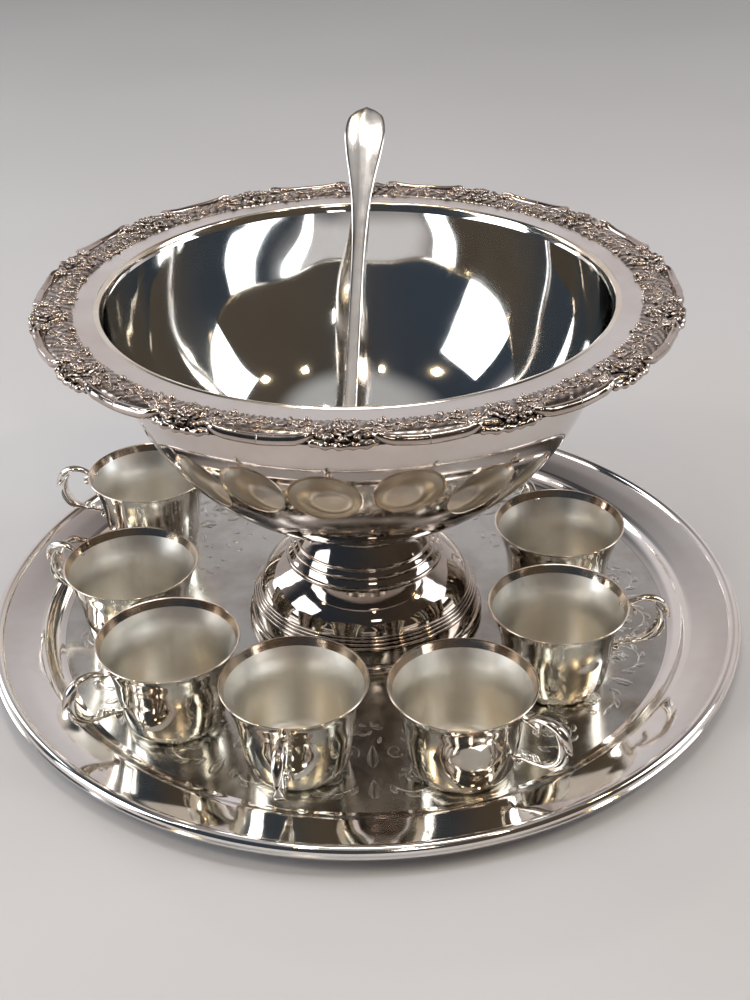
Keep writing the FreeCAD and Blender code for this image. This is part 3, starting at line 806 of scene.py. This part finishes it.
def cup_handle_mesh():
    """The cast double scroll: a leaf-wrapped bow, a volute by the lip and a leaf spur."""
    cast = Casting()
    # upper scroll: from the volute by the lip over the crown to the spur
    handle_bar(cast, [(47.4, 46.6), (48.4, 48.8), (46.4, 50.6), (44.0, 51.4), (45.0, 53.4), (49.0, 55.6),
                      (54.6, 56.3), (60.4, 55.0), (64.6, 51.8), (67.4, 47.6), (70.0, 43.0)],
               [1.2, 1.3, 1.4, 1.4, 1.5, 1.7, 2.0, 2.2, 2.2, 1.8, 0.7], steps=6, squash=1.5, groove=0.3)
    handle_ball(cast, 47.4, 46.4, 2.0, 1.3)
    handle_bar(cast, [(43.8, 51.6), (41.6, 51.6), (40.0, 52.6), (38.6, 53.4)],
               [1.3, 1.2, 1.1, 1.0], squash=1.6)
    # lower scroll: from under the crown down to the root on the wall
    handle_bar(cast, [(60.6, 50.6), (63.0, 46.8), (64.2, 42.2), (63.6, 36.0), (60.2, 30.4), (54.6, 26.6),
                      (48.2, 25.0), (41.0, 24.6), (34.6, 22.6)],
               [0.9, 1.5, 1.9, 2.1, 2.1, 1.9, 1.6, 1.5, 1.5], steps=8, squash=1.5, groove=0.35)
    # leaf that wraps the outside of the bow
    handle_bar(cast, [(67.2, 38.2), (66.4, 33.4), (63.6, 29.2), (59.4, 26.2), (54.6, 24.6)],
               [0.5, 1.3, 1.6, 1.3, 0.5], steps=6, squash=2.1, groove=0.25)
    handle_bar(cast, [(66.0, 45.6), (68.4, 42.8), (70.4, 40.6)], [0.8, 1.2, 0.5], steps=6, squash=1.7)
    # beads and the end curl on the wall
    handle_ball(cast, 45.0, 26.6, 2.1, 1.2)
    handle_ball(cast, 40.6, 25.8, 1.7, 1.2)
    handle_bar(cast, [(34.4, 23.6), (35.8, 20.8), (38.2, 19.4), (39.2, 21.2)],
               [1.6, 1.4, 1.2, 0.9], squash=1.4)
    handle_bar(cast, [(50.2, 26.0), (49.0, 28.6), (46.6, 29.4)], [1.1, 0.9, 0.6], steps=6, squash=1.3)
    return make_mesh("cup_handle", cast.verts, cast.faces, [HANDLE], crease=0, recess_shade=cast.recess_shade)


def build_cups():
    body = cup_mesh()
    handle = cup_handle_mesh()
    for name, (east, north, bearing) in CUPS.items():
        place = (Matrix.Translation(Vector((east, north, FLOOR)) * MM)
                 @ Matrix.Rotation(math.radians(bearing), 4, "Z"))
        make_object(name + "_spun_cup", body, name, [name + "_body"], place)
        make_object(name + "_cast_handle", handle, name, [name + "_handle"],
                    place)


# ------------------------------------------------------------------- ladle

def build_ladle():
    neck = Vector((-10.8, -2.3, 101.6))
    place = (Matrix.Translation(neck * MM) @ Matrix.Rotation(math.radians(-6.1), 4, "Z")
             @ Matrix.Rotation(math.radians(-49.5), 4, "X"))
    length = 279.0
    # stations up the handle: share of its length, half width, half thickness
    stations = [(-0.035, 5.0, 1.0), (0.02, 6.4, 1.5), (0.09, 5.2, 1.7), (0.30, 4.7, 1.8),
                (0.55, 4.6, 1.7), (0.69, 6.0, 1.5), (0.78, 8.6, 1.4), (0.86, 12.2, 1.25),
                (0.92, 13.9, 1.15), (0.965, 12.4, 1.0), (0.985, 8.8, 0.9), (0.996, 4.6, 0.7),
                (1.0, 1.2, 0.5)]
    fine = smooth_line(stations, 8)
    across = 20
    tip_share = 0.86  # where the tip starts to turn back
    ridge_share = 0.5  # where the ridge on the front starts to rise
    verts = []
    for share, half, thick in fine:
        past = max(0.0, (share - tip_share) / (1.0 - tip_share))
        back = 1.6 + 5.5 * past * past
        rise = max(0.0, min(1.0, (share - ridge_share) * 3))
        for k in range(across):
            a = TAU * k / across
            x = half * math.cos(a)
            ridge = 0.9 * math.exp(-(x / 2.4) ** 2) if math.sin(a) < 0 else 0.0
            bulge = abs(math.sin(a)) ** 0.7 * (1 if math.sin(a) > 0 else -1)
            verts.append((x, back + thick * bulge - ridge * rise, share * length))
    faces = ring_faces(0, len(fine), across) + end_faces(0, len(fine), across)
    mesh = make_mesh("ladle_forged_handle", verts, faces, [LADLE], crease=60.0)
    make_object("ladle_forged_handle", mesh, "ladle", ["ladle_handle"], place)

    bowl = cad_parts["ladle_bowl"]
    bowl.data.materials.clear()
    bowl.data.materials.append(LADLE)


# ------------------------------------------------------------------- stage

def build_stage():
    size = 6.0
    mesh = make_mesh("floor", [(-size, -size, 0), (size, -size, 0), (size, size, 0),
                               (-size, size, 0)], [(0, 1, 2, 3)], [], crease=0, scale=1.0)
    n = Nodes("pale_floor")
    tone = n.noise(1.5, 2.0)
    n.join(n.ramp(tone, [(0.3, (0.55, 0.54, 0.555)), (0.7, (0.60, 0.59, 0.605))]),
           n.shader.inputs["Base Color"])
    n.shader.inputs["Roughness"].default_value = 0.6
    mesh.materials.append(n.material)
    floor = bpy.data.objects.new("floor", mesh)
    bpy.context.scene.collection.objects.link(floor)


def lamp(name, spot, aim, width, height, power, colour):
    data = bpy.data.lights.new(name, "AREA")
    data.shape = "RECTANGLE"
    data.size = width
    data.size_y = height
    data.energy = power
    data.color = colour
    item = bpy.data.objects.new(name, data)
    item.location = spot
    heading = Vector(aim) - Vector(spot)
    item.rotation_euler = heading.to_track_quat("-Z", "Y").to_euler()
    bpy.context.scene.collection.objects.link(item)


def build_world():
    """A dim slate room with a pale wall behind the object and a pale ceiling right above it."""
    world = bpy.data.worlds.new("studio")
    bpy.context.scene.world = world
    world.use_nodes = True
    tree = world.node_tree
    place = tree.nodes.new("ShaderNodeTexCoord")
    split = tree.nodes.new("ShaderNodeSeparateXYZ")
    tree.links.new(place.outputs["Generated"], split.inputs[0])

    def band(axis, low, high):
        node = tree.nodes.new("ShaderNodeMapRange")
        node.interpolation_type = "SMOOTHSTEP"
        node.inputs["From Min"].default_value = low
        node.inputs["From Max"].default_value = high
        tree.links.new(split.outputs[axis], node.inputs["Value"])
        return node.outputs["Result"]

    def times(first, second):
        node = tree.nodes.new("ShaderNodeMath")
        node.operation = "MULTIPLY"
        tree.links.new(first, node.inputs[0])
        tree.links.new(second, node.inputs[1])
        return node.outputs["Value"]

    def over(factor, below, colour):
        node = tree.nodes.new("ShaderNodeMixRGB")
        tree.links.new(factor, node.inputs["Fac"])
        if isinstance(below, tuple):
            node.inputs["Color1"].default_value = below
        else:
            tree.links.new(below, node.inputs["Color1"])
        node.inputs["Color2"].default_value = colour
        return node.outputs["Color"]

    room = over(band("X", -0.7, 0.7), (0.035, 0.045, 0.06, 1), (0.075, 0.06, 0.045, 1))
    room = over(times(band("Y", 0.10, 0.55), band("Z", 0.80, 0.45)), room, (0.66, 0.63, 0.64, 1))
    room = over(band("Z", 0.82, 0.94), room, (0.42, 0.42, 0.42, 1))
    tree.links.new(room, tree.nodes["Background"].inputs["Color"])


def build_lights():
    centre = (0, 0, 0.15)
    cool = (0.90, 0.95, 1.0)
    warm = (1.0, 0.80, 0.52)
    lamp("window_left", (-1.9, -0.5, 0.95), centre, 1.0, 1.5, 24, cool)
    lamp("window_left_rear", (-1.7, 0.9, 1.0), centre, 0.5, 1.4, 10, cool)
    lamp("window_right", (2.0, 0.1, 1.05), centre, 0.8, 1.5, 20, cool)
    lamp("ceiling", (0.1, 0.3, 2.9), centre, 1.3, 0.5, 17, (1.0, 0.98, 0.95))
    lamp("front_fill", (0.5, -2.6, 1.9), centre, 0.5, 0.35, 5, (1.0, 0.93, 0.84))
    for number, spot in enumerate(((-1.1, -0.5, 1.6), (-0.5, -1.0, 2.1), (0.9, -0.9, 1.9),
                                   (1.3, -0.3, 1.5), (0.3, -1.5, 2.2), (-0.3, 0.9, 2.3)), start=1):
        lamp("bulb_%d" % number, spot, centre, 0.09, 0.09, 2.4, warm)


def build_camera():
    yaw, pitch, roll = math.radians(1.134), math.radians(30.774), math.radians(-1.282)
    ahead = Vector((math.sin(yaw) * math.cos(pitch), math.cos(yaw) * math.cos(pitch),
                    -math.sin(pitch)))
    right = Vector((math.cos(yaw), -math.sin(yaw), 0.0))
    over = right.cross(ahead)
    across = right * math.cos(roll) + over * math.sin(roll)
    top = over * math.cos(roll) - right * math.sin(roll)
    data = bpy.data.cameras.new("camera")
    data.sensor_fit = "VERTICAL"
    data.sensor_height = 36.0
    data.lens = 52.13
    data.clip_start = 0.01
    camera = bpy.data.objects.new("camera", data)
    turn = Matrix((across, top, -ahead)).transposed().to_4x4()
    camera.matrix_world = Matrix.Translation((-0.0082, -0.7996, 0.5607)) @ turn
    bpy.context.scene.collection.objects.link(camera)
    bpy.context.scene.camera = camera


build_camera()
build_stage()
build_world()
build_lights()
bpy.context.scene.view_settings.view_transform = "Standard"
build_bowl()
build_foot()
build_tray()
build_chasing()
build_border()
build_cups()
build_ladle()
